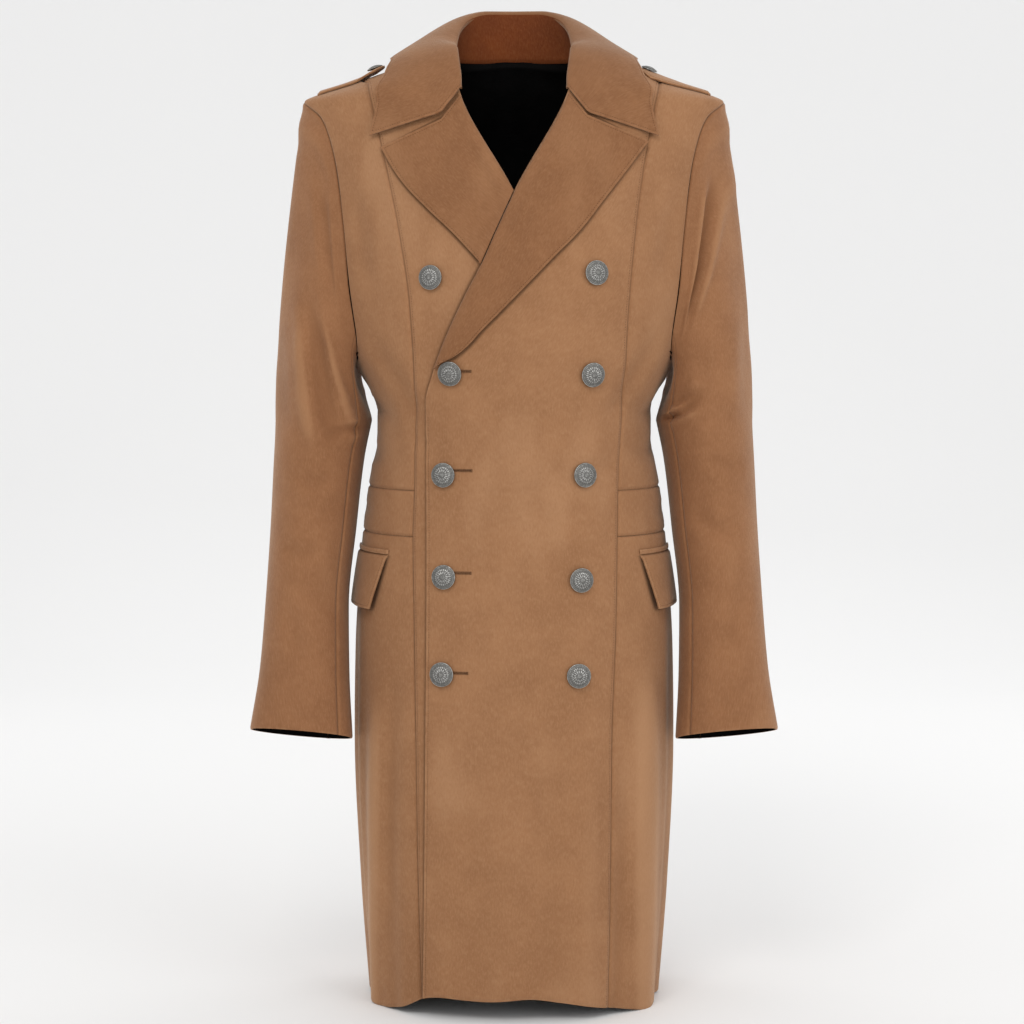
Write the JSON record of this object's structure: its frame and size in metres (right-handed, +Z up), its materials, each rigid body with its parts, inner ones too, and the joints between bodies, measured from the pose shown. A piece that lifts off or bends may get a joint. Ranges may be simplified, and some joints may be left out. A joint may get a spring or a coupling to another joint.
{
  "type": "double-breasted coat",
  "caption": "Knee-length double-breasted wool coat with notched lapels, shoulder straps, waist seams, flap pockets and domed metal buttons, hollow as if worn.",
  "frame": {"origin": "inside the shoulders, on the middle plane, where the wearer's neck and shoulders carry the coat", "axes": "+Z up, -Y out of the front, +X towards the wearer's left"},
  "size_m": [0.553, 0.2687, 1.0467],
  "materials": {
    "wool": "brushed camel wool with a short nap",
    "lining": "black satin lining",
    "antique_silver": "antique silver, dark in the recesses"
  },
  "bodies": {
    "root": {"back_left": "wool", "back_right": "wool", "button_2_left": "antique_silver", "button_2_right": "antique_silver", "button_3_left": "antique_silver", "button_3_right": "antique_silver", "button_4_left": "antique_silver", "button_4_right": "antique_silver", "button_5_left": "antique_silver", "button_5_right": "antique_silver", "button_chest_left": "antique_silver", "button_chest_right": "antique_silver", "button_epaulette_left": "antique_silver", "button_epaulette_right": "antique_silver", "collar_fall": "wool", "collar_stand": "wool", "epaulette_left": "wool", "epaulette_right": "wool", "front_left": "wool", "front_right": "wool", "lapel_left": "wool", "lapel_right": "wool", "lining_back": "lining", "pocket_flap_left": "wool", "pocket_flap_right": "wool", "pocket_jet_left": "wool", "pocket_jet_right": "wool", "side_chest_left": "wool", "side_chest_right": "wool", "side_skirt_left": "wool", "side_skirt_right": "wool", "side_waistband_left": "wool", "side_waistband_right": "wool", "sleeve_top_left": "wool", "sleeve_top_right": "wool", "sleeve_under_left": "wool", "sleeve_under_right": "wool"}
  },
  "joints": []
}
